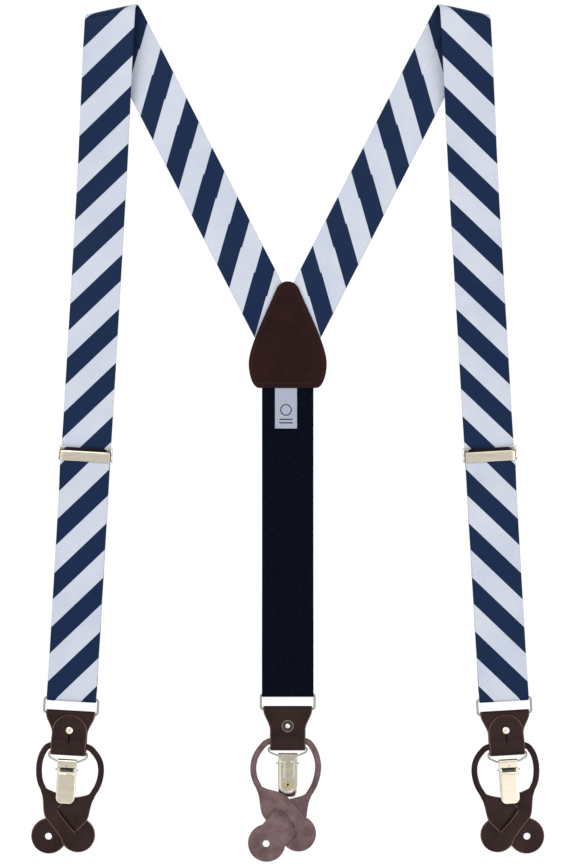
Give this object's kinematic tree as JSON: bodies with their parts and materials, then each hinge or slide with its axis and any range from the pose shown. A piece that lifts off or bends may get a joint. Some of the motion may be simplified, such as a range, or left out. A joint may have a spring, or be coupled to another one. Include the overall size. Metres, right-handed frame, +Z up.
{
  "type": "suspenders",
  "caption": "Y-back suspenders with striped satin straps, elastic back strap, leather yoke, sliding adjusters, trouser clips and leather button loops.",
  "frame": {"origin": "under the middle of the laid-out suspenders, on the surface they lie on", "axes": "+X to the right-hand strap as seen from above, +Y towards the shoulders, +Z up from the floor"},
  "size_m": [0.3588, 0.5966, 0.0132],
  "materials": {
    "striped_satin": "navy and white diagonally striped satin webbing",
    "elastic_webbing": "ribbed dark navy elastic webbing",
    "woven_label": "white woven tape",
    "brown_leather": "dark brown smooth leather, suede on its flesh side",
    "nickel": "warm polished nickel plating",
    "brass": "yellow brass",
    "black_rubber": "black moulded rubber"
  },
  "bodies": {
    "root": {"yoke_back": "brown_leather", "yoke_front": "brown_leather", "label": "woven_label", "elastic": "elastic_webbing", "strap_back_left": "striped_satin", "strap_back_right": "striped_satin", "strap_chest_left": "striped_satin", "strap_chest_right": "striped_satin", "strap_under_left": "striped_satin", "strap_under_right": "striped_satin"},
    "strap_run_left": {"strap_over_left": "striped_satin"},
    "buckle_left": {"adjuster_frame_left": "nickel"},
    "lever_left": {"adjuster_lever_left": "nickel"},
    "ring_left": {"ring_left": "nickel"},
    "tab_left": {"tab_left": "brown_leather", "stud_left": "nickel"},
    "flap_left": {"flap_left": "brown_leather"},
    "bail_left": {"bail_left": "nickel"},
    "clip_left": {"clip_back_plate_left": "nickel", "clip_jaw_pad_left": "black_rubber", "clip_eyelet_left": "brass", "clip_pin_left": "nickel"},
    "clip_cover_left": {"clip_cover_left": "nickel"},
    "button_loop_left": {"button_loop_left": "brown_leather"},
    "strap_run_right": {"strap_over_right": "striped_satin"},
    "buckle_right": {"adjuster_frame_right": "nickel"},
    "lever_right": {"adjuster_lever_right": "nickel"},
    "ring_right": {"ring_right": "nickel"},
    "tab_right": {"tab_right": "brown_leather", "stud_right": "nickel"},
    "flap_right": {"flap_right": "brown_leather"},
    "bail_right": {"bail_right": "nickel"},
    "clip_right": {"clip_back_plate_right": "nickel", "clip_jaw_pad_right": "black_rubber", "clip_eyelet_right": "brass", "clip_pin_right": "nickel"},
    "clip_cover_right": {"clip_cover_right": "nickel"},
    "button_loop_right": {"button_loop_right": "brown_leather"},
    "elastic_end": {"elastic_end": "elastic_webbing"},
    "ring_back": {"ring_back": "nickel"},
    "tab_back": {"tab_back": "brown_leather", "stud_back": "nickel"},
    "flap_back": {"flap_back": "brown_leather"},
    "bail_back": {"bail_back": "nickel"},
    "clip_back": {"clip_back_plate_back": "nickel", "clip_jaw_pad_back": "black_rubber", "clip_eyelet_back": "brass", "clip_pin_back": "nickel"},
    "clip_cover_back": {"clip_cover_back": "nickel"},
    "button_loop_back": {"button_loop_back": "brown_leather"}
  },
  "joints": [
    {"name": "adjust_left", "type": "slide", "parent": "root", "child": "strap_run_left", "axis": [0.058, 0.9983, 0], "range_m": [-0.12, 0.11], "deforming": ["strap_under_left", "strap_over_left", "strap_chest_left"]},
    {"name": "buckle_slide_left", "type": "slide", "parent": "strap_run_left", "child": "buckle_left", "axis": [0.058, 0.9983, 0], "range_m": [-0.12, 0.11]},
    {"name": "lever_hinge_left", "type": "hinge", "parent": "buckle_left", "child": "lever_left", "pos_m": [-0.14084, -0.01115, 0.00475], "axis": [-0.9983, 0.058, 0], "range_deg": [0, 75]},
    {"name": "ring_swing_left", "type": "hinge", "parent": "strap_run_left", "child": "ring_left", "pos_m": [-0.151, -0.18595, 0.00245], "axis": [0.9983, -0.058, 0], "range_deg": [-70, 50]},
    {"name": "tab_swing_left", "type": "hinge", "parent": "ring_left", "child": "tab_left", "pos_m": [-0.15163, -0.19674, 0.00245], "axis": [-0.9983, 0.058, 0], "range_deg": [-60, 60]},
    {"name": "flap_hinge_left", "type": "hinge", "parent": "tab_left", "child": "flap_left", "pos_m": [-0.15326, -0.22479, 0.00205], "axis": [0.9983, -0.058, 0], "range_deg": [0, 110], "deforming": ["flap_left"]},
    {"name": "bail_swing_left", "type": "hinge", "parent": "tab_left", "child": "bail_left", "pos_m": [-0.15318, -0.22349, 0.0038], "axis": [0.9983, -0.058, 0], "range_deg": [-60, 0]},
    {"name": "clip_swing_left", "type": "hinge", "parent": "bail_left", "child": "clip_left", "pos_m": [-0.15353, -0.22948, 0.00645], "axis": [0.9983, -0.058, 0], "range_deg": [-45, 0]},
    {"name": "clip_cover_hinge_left", "type": "hinge", "parent": "clip_left", "child": "clip_cover_left", "pos_m": [-0.15386, -0.23507, 0.00695], "axis": [0.9983, -0.058, 0], "range_deg": [-80, 0]},
    {"name": "loop_swing_left", "type": "hinge", "parent": "tab_left", "child": "button_loop_left", "pos_m": [-0.15292, -0.219, 0.0038], "axis": [0.9983, -0.058, 0], "range_deg": [0, 70]},
    {"name": "adjust_right", "type": "slide", "parent": "root", "child": "strap_run_right", "axis": [-0.058, 0.9983, 0], "range_m": [-0.12, 0.11], "deforming": ["strap_under_right", "strap_over_right", "strap_chest_right"]},
    {"name": "buckle_slide_right", "type": "slide", "parent": "strap_run_right", "child": "buckle_right", "axis": [-0.058, 0.9983, 0], "range_m": [-0.12, 0.11]},
    {"name": "lever_hinge_right", "type": "hinge", "parent": "buckle_right", "child": "lever_right", "pos_m": [0.14084, -0.01115, 0.00475], "axis": [-0.9983, -0.058, 0], "range_deg": [0, 75]},
    {"name": "ring_swing_right", "type": "hinge", "parent": "strap_run_right", "child": "ring_right", "pos_m": [0.151, -0.18595, 0.00245], "axis": [0.9983, 0.058, 0], "range_deg": [-70, 50]},
    {"name": "tab_swing_right", "type": "hinge", "parent": "ring_right", "child": "tab_right", "pos_m": [0.15163, -0.19674, 0.00245], "axis": [-0.9983, -0.058, 0], "range_deg": [-60, 60]},
    {"name": "flap_hinge_right", "type": "hinge", "parent": "tab_right", "child": "flap_right", "pos_m": [0.15326, -0.22479, 0.00205], "axis": [0.9983, 0.058, 0], "range_deg": [0, 110], "deforming": ["flap_right"]},
    {"name": "bail_swing_right", "type": "hinge", "parent": "tab_right", "child": "bail_right", "pos_m": [0.15318, -0.22349, 0.0038], "axis": [0.9983, 0.058, 0], "range_deg": [-60, 0]},
    {"name": "clip_swing_right", "type": "hinge", "parent": "bail_right", "child": "clip_right", "pos_m": [0.15353, -0.22948, 0.00645], "axis": [0.9983, 0.058, 0], "range_deg": [-45, 0]},
    {"name": "clip_cover_hinge_right", "type": "hinge", "parent": "clip_right", "child": "clip_cover_right", "pos_m": [0.15386, -0.23507, 0.00695], "axis": [0.9983, 0.058, 0], "range_deg": [-80, 0]},
    {"name": "loop_swing_right", "type": "hinge", "parent": "tab_right", "child": "button_loop_right", "pos_m": [0.15292, -0.219, 0.0038], "axis": [0.9983, 0.058, 0], "range_deg": [0, 70]},
    {"name": "elastic_stretch", "type": "slide", "parent": "root", "child": "elastic_end", "axis": [0, 1, 0], "range_m": [-0.08, 0], "stiffness_N_per_m": 30, "deforming": ["elastic"]},
    {"name": "ring_swing_back", "type": "hinge", "parent": "elastic_end", "child": "ring_back", "pos_m": [0, -0.18235, 0.00575], "axis": [-1, 0, 0], "range_deg": [-70, 50]},
    {"name": "tab_swing_back", "type": "hinge", "parent": "ring_back", "child": "tab_back", "pos_m": [0, -0.19315, 0.00575], "axis": [1, 0, 0], "range_deg": [-60, 60]},
    {"name": "flap_hinge_back", "type": "hinge", "parent": "tab_back", "child": "flap_back", "pos_m": [0, -0.22125, 0.00615], "axis": [-1, 0, 0], "range_deg": [0, 110], "deforming": ["flap_back"]},
    {"name": "bail_swing_back", "type": "hinge", "parent": "tab_back", "child": "bail_back", "pos_m": [0, -0.21995, 0.0044], "axis": [-1, 0, 0], "range_deg": [-60, 0]},
    {"name": "clip_swing_back", "type": "hinge", "parent": "bail_back", "child": "clip_back", "pos_m": [0, -0.22595, 0.00175], "axis": [-1, 0, 0], "range_deg": [-45, 0]},
    {"name": "clip_cover_hinge_back", "type": "hinge", "parent": "clip_back", "child": "clip_cover_back", "pos_m": [0, -0.23155, 0.00125], "axis": [-1, 0, 0], "range_deg": [-80, 0]},
    {"name": "loop_swing_back", "type": "hinge", "parent": "tab_back", "child": "button_loop_back", "pos_m": [0, -0.21545, 0.0044], "axis": [-1, 0, 0], "range_deg": [0, 70]}
  ],
  "couplings": [
    {"joint": "buckle_slide_left", "follows": "adjust_left", "ratio": 1},
    {"joint": "buckle_slide_right", "follows": "adjust_right", "ratio": 1}
  ]
}
